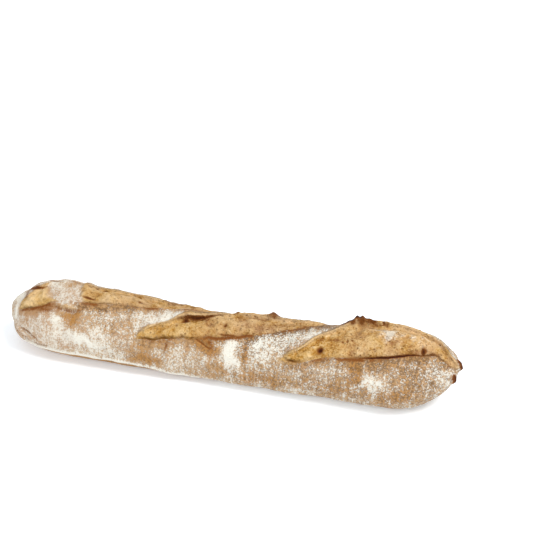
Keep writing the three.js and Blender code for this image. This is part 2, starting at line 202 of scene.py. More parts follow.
# Folds and creases between two places: along, turn, along, turn, half width, height, and the
# painted shade that darkens a crease.
FOLDS = [
    (-143, 34, -141, 74, 0.9, 0.7, 0),
    (-143, 84, -129, 104, 1.0, -1.4, 0.5),
    (-139, 80, -125, 98, 1.0, 1.2, 0),
    (-137, 78, -120, 95, 0.9, -1.2, 0.5),
    (-129, 104, -113, 100, 0.9, -1.2, 0.5),
    (-33, 56, -34, 68, 0.5, -0.6, 0.6),
    (-17, 39, -3, 54, 0.7, -0.6, 0.75),
    (-122, 6, -110, 27, 1.3, 0.9, 0),
    (-113, 30, -103, 33.5, 1.0, 0.8, 0),
    (-106, 33.5, -97, 33.5, 1.1, 1.0, 0),
    (-99, 33.5, -92, 26, 1.0, 0.8, 0),
    (-127, 36, -109, 34, 2.0, -0.6, 0.5),
    (-113, 34, -104, 38, 1.3, -1.0, 0.5),
    (-106, 38, -96, 38, 1.5, -1.2, 0.55),
    (-99, 38, -92, 31, 1.2, -1.0, 0.45),
]

# ---- Mesh: rings of the sphere, and how far apart its points lie on the skin, in mm ----
BLUNT_RINGS, BODY_RINGS, TAPERED_RINGS = 77, 314, 82
SIDES = 210
CLOSE, FINE, WIDE = 0.33, 0.62, 1.15  # at the lips, over the crown, underneath
LIP_REACH = 2.6  # how far from a lip the points crowd together
CROWN = (-75, 80)  # the finer part of a ring, in degrees
CROWN_EDGE = 15  # degrees to either side over which it coarsens
TURN_STEPS = 2400  # steps in which a ring's points are measured out

# ---- What the oven and the flour did, and one painted shade, by place: along, turn, half length, half width, amount ----
FLOURED = [
    (-146, -5, 7, 14, 0.5),
    (-112, 0, 8, 6, 0.1),
    (-106, 14, 4, 3, 0.1),
    (-108, 54, 3.5, 2.5, 0.45),
    (-97, 77, 13, 5, 0.25),
    (-84, 79, 12, 5, 0.3),
    (-93, 31, 6, 2.5, -0.3),
    (-81, 24, 7, 2.5, -0.3),
    (-68, 17, 7, 2.5, -0.2),
    (-62, 22, 14, 4, 0.1),
    (-42, 13, 12, 7, 0.2),
    (-33, 0, 7, 5, 0.25),
    (9, 52, 4, 13, 0.8),
    (29, 36, 7, 8, 0.3),
    (43, 28, 7, 8, 0.15),
    (57, 12, 12, 6, 0.2),
    (54, -14, 13, 6, -0.35),
    (101, 73, 9, 5, 0.4),
    (138, 45, 9, 12, 0.05),
    (-114, -16, 12, 5, 0.2),
    (-103, 29, 9, 3, 0.08),
    (120, -35, 20, 6, 0.3),
    (0, 180, 90, 20, -0.1),
]
DUSTED = [  # the same on torn crumb
    (100, -14, 5, 3, 0.8),
    (107, -10, 5, 4, 0.8),
    (106, 1, 3, 4, 0.7),
    (122, -4, 14, 7, 0.4),
    (64, 22, 10, 6, 0.25),
]
BARED = [  # crumb that shows outside the slashes
    (-102, 34, 8, 1.2, 0.3),
    (45, 57, 5, 2.0, 0.9),
]
SPECKED = [  # dark crust between coarse grains of flour
    (52, -12, 15, 8, 1.0),
    (34, 14, 16, 10, 0.9),
    (24, 38, 8, 8, 0.5),
    (136, 50, 14, 14, 0.4),
    (-93, 32, 7, 3, 0.9),
    (-80, 25, 8, 3, 0.9),
    (-64, 16, 9, 3, 0.7),
    (-80, 42, 24, 5, 0.3),
    (18, 34, 20, 6, 0.3),
    (105, 40, 26, 8, 0.3),
]
TOASTED_AND_SHADED = [
    (-101, 28, 10, 6, -3.4),
    (-101, 48, 7, 6, 1.5),
    # Painted shade under the rim of the crust tongue over the first slash.
    (-100, 40, 8, 2.5, 1.0),
    (-75, 42, 20, 8, 0.4),
    (-120, 75, 16, 13, -0.6),
    (-47, 83, 11, 7, 1.0),
    (-13, 44, 4, 3.5, 1.1),
    (-8, 51, 4, 3.5, 1.3),
    (-3, 58, 4, 3.5, 1.2),
    (18, 50, 2.2, 8, 1.0),
    (88, 62, 4.5, 8, 1.3),
    (20, 92, 40, 8, 0.7),
    (80, 92, 20, 8, 0.45),
    (116, 52, 14, 9, 0.35),
    (118, 88, 16, 8, 0.75),
    (-148, 50, 4, 14, 0.8),
    (-128, 20, 11, 10, -3.6),
    (-62, 0, 20, 6, -0.2),
    (-34, -24, 12, 3, 0.8),
    (-42, 34, 10, 8, -0.65),
    (-18, 22, 6, 3.5, -0.8),
    (14, -14, 10, 8, 0.5),
    (24, 6, 12, 3, 0.8),
    (40, -22, 9, 6, -0.4),
    (57, 42, 9, 7, -0.6),
    (82, 8, 10, 12, 0.9),
    (88, -24, 10, 3, 0.9),
    (61, 26, 6, 3.5, -1.2),
    (70, 5, 5, 4, -1.2),
    (-110, -12, 12, 5, 0.6),
    (112, 6, 18, 12, 0.7),
    (118, 6, 9, 5, -0.4),
]
BURNT = [
    (-27, 6, 2.6, 2.6, 1.0),
    (-12, 3, 1.8, 2.6, 0.8),
    (-44, -31, 7, 1.6, 0.5),
    (-121, -14, 6, 0.9, 0.6),
    (-106, -16, 5, 0.8, 0.5),
    (-130, 1, 8, 1.6, 0.9),
    (-137, 12, 2.5, 6, 0.5),
    (-118, 38, 9, 2.2, 0.6),
    (-91, 13, 5, 0.9, 0.9),
    (-90, 23, 8, 0.7, 0.6),
    (-37, -28, 9, 2, 0.4),
    (-59, -5, 7, 1.2, 0.4),
    (-12, 45, 8, 2.2, 0.3),
    (6, 28, 9, 1.6, 0.7),
    (-36, 53, 9, 3.5, 0.4),
    (-4, 50, 2, 5, 0.5),
    (-34, 62, 0.8, 5, 0.5),
    (27, -37, 3.6, 2.6, 0.8),
    (12, -16, 4, 2.0, 0.6),
    (74, -19, 3, 2.4, 0.7),
    (79, -23, 4, 2.6, 1.0),
    (85, -27, 5, 2.7, 0.95),
    (92, -28, 6, 1.8, 0.8),
    (99, -27, 5, 0.9, 0.65),
    (50, -6, 12, 3.0, 0.35),
    (128, 11, 1.8, 2.1, 1.0),
    (134, 13, 4, 2.0, 0.6),
    (-96, -13, 1.6, 1.0, 0.9),
    (-91, -15, 1.2, 0.9, 0.8),
    (-85, -17, 2.0, 0.9, 0.9),
    (-6, 45, 2.5, 1.5, 0.7),
    (65, 35, 2.2, 1.5, 0.9),
    (65, 35, 6, 3.2, 0.35),
]
PITS = [  # place along, turn, radius, depth
    (65, 35, 2.0, 2.0),
    (78, 20, 1.0, 0.8),
    (81, 19, 0.9, 0.7),
    (84, 17, 0.9, 0.8),
    (1, 11, 1.3, 0.9),
    (12, -17, 1.6, 0.9),
    (128, 11, 1.8, 1.6),
    (-60, -5, 1.0, 0.6),
]
# Pits strewn in the torn crumb, darker by so much where they are so deep, partly browning and
# partly painted shade, and blisters on crust.
LOOSE_PITS = dict(count=800, radius=(0.5, 1.3), size=(0.2, 0.8), way=-1, seed=5)
PIT_BURN_AND_SHADE = dict(share=0.45, depth=0.7)
BLISTERS = dict(count=700, radius=(0.7, 1.8), size=(0.1, 0.35), way=1, seed=8)
STREWN = 110  # the turn to either side up to which they lie
STREWN_REACH = 2.5  # how many radii from its middle one is nothing
FLOUR_ALL_OVER = 0.46
CRUMB_SHEDS = 0.65  # the share of its flour that torn crumb has lost
TOAST_SHEDS = 0.32


# ---- Small sums ----
def smooth(low, high, value):
    t = np.clip((value - low) / (high - low), 0, 1)
    return t * t * (3 - 2 * t)


def bell(distance, width):
    return np.exp(-((distance / width) ** 2))


def lattice(i, j, k, seed):
    """Seeded random numbers from 0 to 1 at whole places."""
    i, j, k = (v.astype(np.int64).astype(np.uint32) for v in (i, j, k))
    h = i * np.uint32(374761393) ^ j * np.uint32(668265263) ^ k * np.uint32(2147483629)
    h = (h ^ np.uint32(seed * 40503 & 0xFFFFFFFF)) * np.uint32(1274126177)
    h = (h ^ (h >> np.uint32(15))) * np.uint32(2246822519)
    return (h ^ (h >> np.uint32(13))).astype(float) / 4294967295


def noise(x, y, z, size, seed):
    """Smooth seeded noise from -1 to 1, with cells of a size in mm."""
    places = np.broadcast_arrays(*(np.asarray(v, float) / size for v in (x, y, z)))
    cells = [np.floor(v) for v in places]
    shares = [v - cell for v, cell in zip(places, cells)]
    shares = [t * t * (3 - 2 * t) for t in shares]
    total = 0
    for corner in np.ndindex(2, 2, 2):
        weight = 1
        for far, share in zip(corner, shares):
            weight = weight * (share if far else 1 - share)
        total = total + weight * lattice(*(cell + far for cell, far in zip(cells, corner)), seed)
    return 2 * total - 1


def layered(points, layers):
    x, y, z = np.moveaxis(points, -1, 0)
    return sum(height * noise(x, y, z, size, seed) for size, height, seed in layers)


def station(along, column):
    """A smooth curve through one column of the stations, with no overshoot between them."""
    at, value = STATIONS[:, 0], STATIONS[:, column]
    slope = np.concatenate([[0], np.diff(value) / np.diff(at), [0]])
    before, after = slope[:-1], slope[1:]
    agree = before * after > 0
    tangent = np.where(agree, 2 * before * after / np.where(agree, before + after, 1), 0)
    k = np.clip(np.searchsorted(at, along) - 1, 0, len(at) - 2)
    run = at[k + 1] - at[k]
    t = np.clip((along - at[k]) / run, 0, 1)
    return (
        (2 * t**3 - 3 * t**2 + 1) * value[k]
        + (t**3 - 2 * t**2 + t) * run * tangent[k]
        + (3 * t**2 - 2 * t**3) * value[k + 1]
        + (t**3 - t**2) * run * tangent[k + 1]
    )


# ---- The plain loaf ----
def ring_places():
    """Each ring's place along the loaf, and its share of a full section."""
    blunt = math.pi / 2 * (1 - np.arange(1, BLUNT_RINGS) / BLUNT_RINGS)
    tapered = math.pi / 2 * np.arange(1, TAPERED_RINGS) / TAPERED_RINGS
    body = np.linspace(-LENGTH / 2 + BLUNT["length"], LENGTH / 2 - TAPERED["length"], BODY_RINGS)
    along = np.concatenate([
        -LENGTH / 2 + BLUNT["length"] * (1 - np.sin(blunt)),
        body,
        LENGTH / 2 - TAPERED["length"] * (1 - np.sin(tapered)),
    ])
    full = np.concatenate([np.cos(blunt), np.ones(BODY_RINGS), np.cos(tapered)])
    return along[:, None], full[:, None]


def plain_points(along, full, turn):
    half = station(along, 1)
    height = 2 * half * HEIGHT_SHARE
    belly = BELLY_SHARE * height
    s, c = np.sin(np.radians(turn)), np.cos(np.radians(turn))
    blunting = 2 / LOWER_FULLNESS
    y = -half * np.where(c >= 0, s, np.sign(s) * np.abs(s) ** blunting)
    z = np.where(c >= 0, belly + (height - belly) * c, belly * (1 - np.abs(c) ** blunting))
    tip = np.where(along < 0, BLUNT["tip"], TAPERED["tip"]) * height
    x = along + 0 * turn
    return np.stack([x, station(along, 2) + full * y, tip + full * (z - tip)], -1)


def mm_per_degree(along):
    return station(along, 1) * GIRTH_SHARE * math.pi / 180


# ---- Slashes ----
def wander(along, sizes, seed):
    """How far a lip strays, from the sizes and reaches of its notches."""
    total = 0
    for i, (size, reach) in enumerate(sizes):
        total = total + reach * noise(along, 0, 0, size, seed + 3 * i)
    return total


def lips(slash, along):
    """A slash's front lip and back lip at a place along the loaf, as turns, and how open it is."""
    share = (along - slash["start"]) / (slash["end"] - slash["start"])
    s = np.clip(share, 0, 1)
    bow_peak, peak = slash["bow_peak"], slash["peak"]
    past = (s - bow_peak) / np.where(s < bow_peak, bow_peak, 1 - bow_peak)
    first, last = slash["front"]
    hook, bend = slash["hook"]
    front = first + (last - first) * s + slash["bow"] * (1 - past**2) - bend * smooth(hook, 1, s)
    front = front + slash["flare"] * smooth(FLARE, 1, s)
    beyond = np.clip((s - peak) / (1 - peak), 0, 1)
    width = np.where(s < peak, (s / peak) ** slash["rise"], (1 - beyond**2) ** slash["narrowing"])
    at, length, over = slash["overlap"]
    overlap = over * bell(along - at, length) * smooth(0, OVERLAP_START, s)
    back = front - slash["spread"] * width + overlap
    for at, length, turn in slash["nudges"]:
        front = front + turn * bell(along - at, length)
    opened = smooth(0, OPENING, share) * smooth(0, slash["closing"], 1 - share)
    per_degree = mm_per_degree(along)
    calm = smooth(0, FULL_GAP, (front - back) * per_degree)
    size, reach = LIP_WAVES
    notches = (0.4 + 0.6 * slash["wavy"]) * wander(along, LIP_WANDER, slash["seed"] + 50)
    waves = slash["wavy"] * reach * noise(along, 0, 0, size, slash["seed"] + 45)
    front = front + calm * (notches + waves) / per_degree
    back = back + calm * wander(along, EAR_WANDER, slash["seed"] + 60) / per_degree
    return front, back, opened


def bridged(along, turn):
    """The share of whole crust left, where a strip of it still spans a slash."""
    sides = []
    for edge, way, soft, seed in zip(("near", "far"), (1, -1), BRIDGE["soft"], BRIDGE["seeds"]):
        ragged = BRIDGE["ragged"] * noise(along, turn * BRIDGE["slant"], 0, BRIDGE["cell"], seed)
        inside = way * (along - np.interp(turn, BRIDGE["turns"], BRIDGE[edge])) + ragged
        sides.append(smooth(-soft, soft, inside))
    return np.minimum(*sides)


def side_turns(along):
    """The turns of each ring's points, which crowd together at the lips."""
    fine = np.linspace(-180, 180, TURN_STEPS, endpoint=False)[None]
    back, front = CROWN
    crown = smooth(back - CROWN_EDGE, back + CROWN_EDGE, fine)
    crown = crown * smooth(front + CROWN_EDGE, front - CROWN_EDGE, fine)
    crowding = 1 / WIDE + (1 / FINE - 1 / WIDE) * crown + 0 * along
    per_degree = mm_per_degree(along)
    for slash in SLASHES:
        front, back, opened = lips(slash, along)
        for lip in (front, back):
            near = bell((fine - lip) * per_degree, LIP_REACH)
            crowding = crowding + (1 / CLOSE - 1 / FINE) * near * opened
    passed = np.cumsum(crowding, axis=1)
    passed = passed / passed[:, -1:]
    wanted = (np.arange(SIDES) + 0.5) / SIDES
    return np.stack([np.interp(wanted, row, fine[0]) for row in passed])


class Skin:
    """The loaf's skin: where its points lie and what was done to them."""

    def __init__(self):
        self.along, self.full = ring_places()
        self.turn = side_turns(self.along)
        self.plain = plain_points(self.along, self.full, self.turn)
        self.per_degree = mm_per_degree(self.along)
        step = np.roll(self.plain, -1, 1) - np.roll(self.plain, 1, 1)
        self.forwards = step / np.linalg.norm(step, axis=2, keepdims=True)
        ends = np.concatenate([self.plain[:1], self.plain, self.plain[-1:]])
        self.normal = np.cross(self.forwards, ends[2:] - ends[:-2])
        self.normal /= np.linalg.norm(self.normal, axis=2, keepdims=True)
        zero = np.zeros_like(self.turn)
        self.out, self.forward = zero.copy(), zero.copy()
        # The second of these holds burnt places and painted shade alike.
        self.torn, self.burn_and_shade = zero.copy(), zero.copy()
        self.flour, self.toast_and_shade = zero.copy(), zero.copy()
        self.relief, self.coarse, self.rosy = zero.copy(), zero.copy(), zero.copy()
        # How far outlines stray, along the loaf and round it.
        self.uneven = [
            layered(self.plain, [(10, 3.5, seed), (4, 2.2, seed + 1)]) for seed in (91, 95)
        ]

    def spot(self, at, turn, length, width, stray=0):
        """How near each point is to a place: 1 there, fading over a length and a width."""
        around = (self.turn - turn) * self.per_degree * np.maximum(self.full, TIP_AROUND)
        off_along, off_around = (stray * uneven for uneven in self.uneven)
        return bell(self.along - at + off_along, length) * bell(around + off_around, width)

    def paint_spot(self, at, turn, length, width):
        """A spot whose outline strays, the more so the larger it is."""
        return self.spot(at, turn, length, width, min(length, width, 5) / 5)

    def above_rim(self):
        low, high = RIM["along"]
        blunt, beyond = RIM["height"]
        height = beyond + (blunt - beyond) * smooth(high, low, self.along)
        return self.plain[..., 2] - FOOT_CUT - height

    def fold(self, at, turn, to, to_turn, width):
        """How near each point is to a straight fold between two places on the skin."""
        run = np.array([to - at, (to_turn - turn) * MM_PER_DEGREE])
        off_x = self.along - at + 0 * self.turn
        off_y = (self.turn - turn) * self.per_degree
        share = np.clip((off_x * run[0] + off_y * run[1]) / (run @ run), 0, 1)
        away = np.hypot(off_x - share * run[0], off_y - share * run[1])
        return bell(away, width) * (1 - np.abs(2 * share - 1) ** 4)

    def lump(self):
        x, y, z = np.moveaxis(self.plain, -1, 0)
        clear = smooth(*FOOT_FADE, z - FOOT_CUT) * smooth(*TIP_FADE["lumps"], self.full)
        self.out += layered(self.plain, CRUST_LUMPS) * clear

    def patches(self, kind, seed):
        """Slanting blotches, from 0 to 1."""
        seed = seed + kind["seed"]
        return 0.5 + 0.5 * noise(self.along, self.turn * kind["slant"], 0, kind["cell"], seed)

    def slash(self, slash):
        """Opens a slash: lips, groove, torn strip and ear, browning, and painted shade and
        highlight.
        """
        front, back, opened = lips(slash, self.along)
        u = (front - self.turn) * self.per_degree  # behind the front lip
        b = (back - self.turn) * self.per_degree  # behind the back lip
        gap = np.maximum((front - back) * self.per_degree, LEAST_GAP)
        crust_left = bridged(self.along, self.turn)
        fade = opened * smooth(0, FULL_GAP, gap) * (1 - crust_left)
        fade = fade * smooth(*TIP_FADE["slashes"], self.full)
        tongues = noise(self.along, self.turn * EAR["slant"], 0, EAR["tongue"], slash["seed"])
        ear = slash["ear"] * (1 + EAR["uneven"] * tongues)
        crack_seed = slash["seed"] + CRACK["seed"]
        broken = noise(self.along, 0 * self.turn, 0, CRACK["stretch"], crack_seed)
        crack = slash["crack"] * smooth(CRACK["shut"], CRACK["full"], broken)
        inset = smooth(0, TORN_INSET, np.minimum(u, -b))
        lumps = layered(self.plain, TORN_LUMPS)
        # A painted highlight along the ear's edge; it and the torn lumps make raised places paler
        # in the crumb's colour, as painted light and shade.
        edge_highlight = EAR["highlight"] * bell(b + 0.3, 1.3)
        self.relief += (np.where((u > 0) & (b < 0), lumps, 0) + edge_highlight) * fade

        before = LIP["lift"] * np.exp(np.minimum(u, 0) / LIP["reach"])
        behind = ear * bell(b, EAR["reach"])
        inside = (
            LIP["lift"] * np.exp(-np.maximum(u, 0) / LIP["fall"])
            - crack * bell(u - CRACK["behind"], CRACK["half"])
            + TORN_SWELL * np.sin(math.pi * np.clip(u / gap, 0, 1))
            + lumps * inset
            - slash["hollow"] * bell(b + HOLLOW["before"], HOLLOW["width"])
            + ear * np.exp(np.minimum(b, 0) / EAR["fall"])
        )
        lean_behind = np.exp(-np.maximum(b, 0) / EAR["lean_back"])
        lean_inside = np.exp(np.minimum(b, 0) / EAR["lean_fall"])
        lean = EAR["lean"] * np.where(b > 0, lean_behind, lean_inside)
        self.out += np.where(u < 0, before, np.where(b > 0, behind, inside)) * fade
        self.forward += np.where(u < 0, 0, lean) * fade

        edge = smooth(0, 0.4, opened) * (1 - crust_left)
        edge = edge * smooth(*TIP_FADE["torn"], self.full) * smooth(0.2, 1.2, gap)
        patchy, ragged = (self.patches(kind, slash["seed"]) for kind in (PATCHES, RAGS))
        at, length, over = slash["overlap"]
        hanging = bell(self.along - at, length)
        bare = slash["bare"] * patchy + 0.8 * over * hanging * self.per_degree
        strip = smooth(-0.1, 0.4, u) * smooth(bare + 0.3, bare - 0.3, b) * edge
        self.torn = np.maximum(self.torn, strip)
        at, length, more = slash["darkest"]
        dark = slash["dark"] + more * bell(self.along - at, length)
        # Darker crust just before the front lip.
        lip_darkening = bell(u + LIP_DARKENING["before"], LIP_DARKENING["width"])
        lip_darkening = lip_darkening * smooth(0.3, 0.8, patchy + 0.5 * ragged - 0.2)
        # Darker in the groove, the more so the deeper it is: partly browning, partly painted
        # shade.
        deep = CRACK_BURN_AND_SHADE["least"] + (1 - CRACK_BURN_AND_SHADE["least"]) * crack / slash["crack"]
        crack_burn_and_shade = bell(u - CRACK_BURN_AND_SHADE["behind"], slash["line"]) * deep
        ear_burn = bell(b - bare, EAR_BURN["width"])
        ear_burn = ear_burn * smooth(0.5, 0.9, patchy * 0.7 + ragged * 0.5)
        # Painted shade under the ear.
        under_ear = bell(b + UNDER_EAR["before"], UNDER_EAR["width"]) * patchy
        burns = [
            np.minimum(LIP_DARKENING["most"], dark) * lip_darkening,
            dark * crack_burn_and_shade,
            slash["ear_dark"] * ear_burn,
            slash["pocket"] * under_ear,
        ]
        self.burn_and_shade = np.maximum(self.burn_and_shade, np.maximum.reduce(burns) * fade)
        share = np.clip((self.along - slash["start"]) / (slash["end"] - slash["start"]), 0, 1)
        rosy = np.maximum(smooth(0.15, 0.6, share), 1.2 * smooth(-0.8, 0.6, b)) * strip
        self.rosy = np.maximum(self.rosy, rosy)
        # A cave is dug under an ear that hangs forward, and painted shade darkens it under the
        # ear's rim.
        depth, cave_shade = slash["cave"]
        self.out -= depth * hanging * bell(b + CAVE["before"], CAVE["width"]) * (b < 0)
        under_rim_shade = bell(b + CAVE["shade_before"], CAVE["shade_width"]) * (b < 0.2)
        self.burn_and_shade = np.maximum(self.burn_and_shade, cave_shade * hanging * under_rim_shade)
        before_lip = smooth(0.3, -0.6, u) * np.exp(np.minimum(u, 0) ** 2 / -(RUBBED**2)) * opened
        self.flour -= slash["rubbed"] * (0.6 + 0.4 * patchy) * before_lip * (1 - crust_left)

    def details(self):
        for at, turn, length, width, height in FEATURES:
            self.out += height * self.spot(at, turn, length, width)
        self.out += RIM["lift"] * bell(self.above_rim(), RIM["width"]) * self.full
        grit = 0.5 + 0.5 * layered(self.plain, [(GRIT_SIZE, 0.8, 41), (GRIT_SIZE * 2, 0.5, 42)])
        for at, turn, length, width, height in GRITTY:
            self.out += height * (grit - 0.3) * self.spot(at, turn, length, width)
        # A crease is darkened by painted shade.
        for at, turn, to, to_turn, width, height, crease_shade in FOLDS:
            near = self.fold(at, turn, to, to_turn, width)
            self.out += height * near
            self.burn_and_shade = np.maximum(self.burn_and_shade, crease_shade * near)
        for at, turn, radius, height in CRUMBS:
            near = self.spot(at, turn, radius, radius)
            self.out += height * near
            self.burn_and_shade = np.maximum(self.burn_and_shade, near * (0.8 + 0.5 * self.uneven[1] / 2.2))
        # A pit browns, the darker the deeper: partly browning, partly painted shade.
        for at, turn, radius, depth in PITS:
            near = self.spot(at, turn, radius, radius)
            self.out -= depth * near
            self.burn_and_shade = np.maximum(self.burn_and_shade, (0.55 + 0.35 * depth) * near)
        self.scatter()

    def scatter(self):
        """Pits in the torn crumb and small blisters on the crust, at seeded random places."""
        for kind in (LOOSE_PITS, BLISTERS):
            random = np.random.default_rng(kind["seed"])
            on_torn = kind["way"] < 0
            for _ in range(kind["count"]):
                at = random.uniform(-LENGTH / 2, LENGTH / 2)
                turn = random.uniform(-STREWN, STREWN)
                radius = random.uniform(*kind["radius"])
                size = random.uniform(*kind["size"])
                rows = np.flatnonzero(np.abs(self.along[:, 0] - at) < STREWN_REACH * radius)
                if not len(rows):
                    continue
                rows = slice(rows[0], rows[-1] + 1)
                around = (self.turn[rows] - turn) * self.per_degree[rows]
                near = bell(self.along[rows] - at, radius) * bell(around, radius)
                host = self.torn[rows] if on_torn else 1 - self.torn[rows]
                height = kind["way"] * size * near * host
                self.out[rows] += height * smooth(*TIP_FADE["pits"], self.full[rows])
                if on_torn:
                    burn_and_shade = PIT_BURN_AND_SHADE["share"] * near * host * (size / PIT_BURN_AND_SHADE["depth"])
                    self.burn_and_shade[rows] = np.maximum(self.burn_and_shade[rows], burn_and_shade)

    def paint(self):
        z = self.plain[..., 2] - FOOT_CUT
        low = smooth(1.5, -0.2, z)
        self.coarse += 0.6 * smooth(-112, -75, self.along) + 0.4 * smooth(-30, 50, self.along)
        for at, turn, length, width, amount in SPECKED:
            self.coarse += amount * self.paint_spot(at, turn, length, width)
        self.flour += FLOUR_ALL_OVER - 0.2 * low - 0.06 * smooth(-20, 90, self.along)
        above = self.above_rim()
        rim = bell(above - 0.4, 0.8) * smooth(10, -30, self.along)
        under = smooth(-0.4, -1.6, above) * smooth(10, -30, self.along)
        self.flour += 0.5 * rim - 0.3 * under
        self.toast_and_shade += 0.35 * low + 0.5 * under
        for at, turn, length, width, amount in FLOURED:
            self.flour += amount * self.paint_spot(at, turn, length, width)
        for at, turn, length, width, amount in BARED:
            bared = np.minimum(1, 1.5 * amount * self.paint_spot(at, turn, length, width))
            self.torn = np.maximum(self.torn, bared)
        self.flour *= 1 - CRUMB_SHEDS * self.torn
        for at, turn, length, width, amount in DUSTED:
            self.flour += amount * self.torn * self.paint_spot(at, turn, length, width)
        for at, turn, length, width, amount in TOASTED_AND_SHADED:
            self.toast_and_shade += amount * self.paint_spot(at, turn, length, width)
        for at, turn, length, width, amount in BURNT:
            self.burn_and_shade = np.maximum(self.burn_and_shade, amount * self.paint_spot(at, turn, length, width))
        self.flour -= TOAST_SHEDS * np.clip(self.toast_and_shade, 0, 1) * (1 - self.torn)
        self.flour += 0.4 * self.fold(*FOLDS[0][:4], 0.8)

    def worked(self):
        """The finished points, with the foot cut flat, and the two tips."""
        points = self.plain + self.normal * self.out[..., None]
        points = points + self.forwards * self.forward[..., None]
        start, whole = NIB_ROOT
        end = smooth(LENGTH / 2 - start, LENGTH / 2 - whole, points[..., 0])
        for nib in NIBS:
            beside = bell(points[..., 1] - nib["side"], nib["width"])
            near = end * beside * np.exp(-(((points[..., 2] - nib["height"]) / nib["tall"]) ** 4))
            points[..., 0] += nib["reach"] * near
            self.burn_and_shade = np.maximum(self.burn_and_shade, 0.95 * smooth(0.3, 0.9, near))
        points[..., 2] = np.maximum(0, points[..., 2] - FOOT_CUT)
        points += CENTRING
        return points


def make_loaf(skin):
    """A sphere with as many rings and sides as the skin, drawn out into the loaf."""
    bpy.ops.object.select_all(action="DESELECT")
    rings = len(skin.along)
    radius = LENGTH / 2000
    bpy.ops.mesh.primitive_uv_sphere_add(segments=SIDES, ring_count=rings + 1, radius=radius)
    loaf = bpy.context.object
    loaf.name = "baked_loaf"
    mesh = loaf.data
    start = np.empty(len(mesh.vertices) * 3)
    mesh.vertices.foreach_get("co", start)
    start = start.reshape(-1, 3) / radius
    ring = np.rint(np.arccos(np.clip(start[:, 2], -1, 1)) / math.pi * (rings + 1)).astype(int)
    # The sphere's points stand half a step round from its x axis, so its sides are rounded down.
    side = np.arctan2(start[:, 1], start[:, 0]) / (2 * math.pi) * SIDES
    side = np.floor(side).astype(int) % SIDES
    points = skin.worked()
    body = (ring > 0) & (ring <= rings)
    place = np.empty_like(start)
    row = np.clip(ring - 1, 0, rings - 1)
    place[body] = points[row[body], side[body]]
    for pole, end, way in ((0, 0, -1), (rings + 1, -1, 1)):
        place[ring == pole] = points[end].mean(axis=0) + (0.05 * way, 0, 0)
    mesh.vertices.foreach_set("co", (place / 1000).ravel())
    for name in ("torn", "burn_and_shade", "flour", "toast_and_shade", "relief", "coarse", "rosy"):
        layer = mesh.attributes.new(name, "FLOAT", "POINT")
        layer.data.foreach_set("value", getattr(skin, name)[row, side])
    arc = skin.turn * skin.per_degree
    over = np.stack([skin.along + 0 * arc, arc, 0 * arc], -1)[row, side]
    layer = mesh.attributes.new("over", "FLOAT_VECTOR", "POINT")
    layer.data.foreach_set("vector", over.ravel())
    bpy.ops.object.mode_set(mode="EDIT")
    bpy.ops.mesh.select_all(action="SELECT")
    bpy.ops.mesh.normals_make_consistent(inside=False)
    bpy.ops.object.mode_set(mode="OBJECT")
    bpy.ops.object.shade_smooth()
    return loaf


# ---- Finishes ----
def tone(red, green, blue):
    """A colour as a screen shows it, from 0 to 255, turned into the light it gives."""
    parts = [v / 255 for v in (red, green, blue)]
    return (*(v / 12.92 if v <= 0.04045 else ((v + 0.055) / 1.055) ** 2.4 for v in parts), 1)


class Value:
    """A node's output, so that shader maths reads as sums."""

    def __init__(self, maker, socket):
        self.maker, self.socket = maker, socket

    def math(self, operation, first, second):
        return self.maker.node("ShaderNodeMath", {"operation": operation}, {0: first, 1: second})

    def __add__(self, other):
        return self.math("ADD", self, other)

    def __radd__(self, other):
        return self.math("ADD", other, self)

    def __sub__(self, other):
        return self.math("SUBTRACT", self, other)

    def __rsub__(self, other):
        return self.math("SUBTRACT", other, self)

    def __mul__(self, other):
        return self.math("MULTIPLY", self, other)

    def at_most(self, other):
        return self.math("MINIMUM", self, other)


class Maker:
    """Adds the nodes of one material."""

    def __init__(self, name):
        self.material = bpy.data.materials.new(name)
        self.material.use_nodes = True
        self.tree = self.material.node_tree
        self.shader = self.tree.nodes["Principled BSDF"]

    def node(self, kind, settings, sockets, output=0):
        made = self.tree.nodes.new(kind)
        for key, value in settings.items():
            setattr(made, key, value)
        self.fill(made, sockets)
        return Value(self, made.outputs[output])

    def fill(self, made, sockets):
        for key, value in sockets.items():
            if isinstance(value, Value):
                self.tree.links.new(value.socket, made.inputs[key])
            else:
                made.inputs[key].default_value = value

    def attribute(self, name, output="Fac"):
        return self.node("ShaderNodeAttribute", {"attribute_name": name}, {}, output)

    def object_place(self):
        return self.node("ShaderNodeTexCoord", {}, {}, "Object")

    def scaled(self, vector, scale):
        return self.node("ShaderNodeVectorMath", {"operation": "MULTIPLY"}, {0: vector, 1: scale})

    def noise(self, place, size, detail, roughness):
        sockets = {"Vector": place, "Scale": 1 / size, "Detail": detail, "Roughness": roughness}
        return self.node("ShaderNodeTexNoise", {}, sockets, "Fac")

    def cells(self, place, size):
        sockets = {"Vector": place, "Scale": 1 / size}
        return self.node("ShaderNodeTexVoronoi", {}, sockets, "Distance")

    def step(self, low, high, value):
        sockets = {"Value": value, "From Min": low, "From Max": high}
        return self.node("ShaderNodeMapRange", {"interpolation_type": "SMOOTHSTEP"}, sockets)

    def mix(self, share, first, second):
        sockets = {0: share, 6: first, 7: second}
        return self.node("ShaderNodeMix", {"data_type": "RGBA"}, sockets, 2)

    def bump(self, height, distance, strength):
        sockets = {"Height": height, "Distance": distance, "Strength": strength}
        return self.node("ShaderNodeBump", {}, sockets)


PINK_CRUST = tone(164, 127, 90)
TAN_CRUST = tone(166, 129, 85)
TOAST_AND_SHADE_CRUST = tone(162, 117, 64)
SPECKED_CRUST = tone(106, 78, 50)
FLOUR = tone(230, 228, 217)
CREAM_CRUMB = tone(220, 188, 138)
PALE_CRUMB = tone(208, 172, 114)
GOLD_CRUMB = tone(174, 127, 54)
ROSY_CRUMB = tone(194, 161, 124)
BROWN_CRUMB = tone(128, 78, 20)
# These two browns stand for burnt crust and also for painted shade in creases, pits, pores, the
# groove and under the ears.
BROWNED_AND_SHADED = tone(118, 69, 25)
CHARRED_AND_SHADED = tone(66, 25, 6)


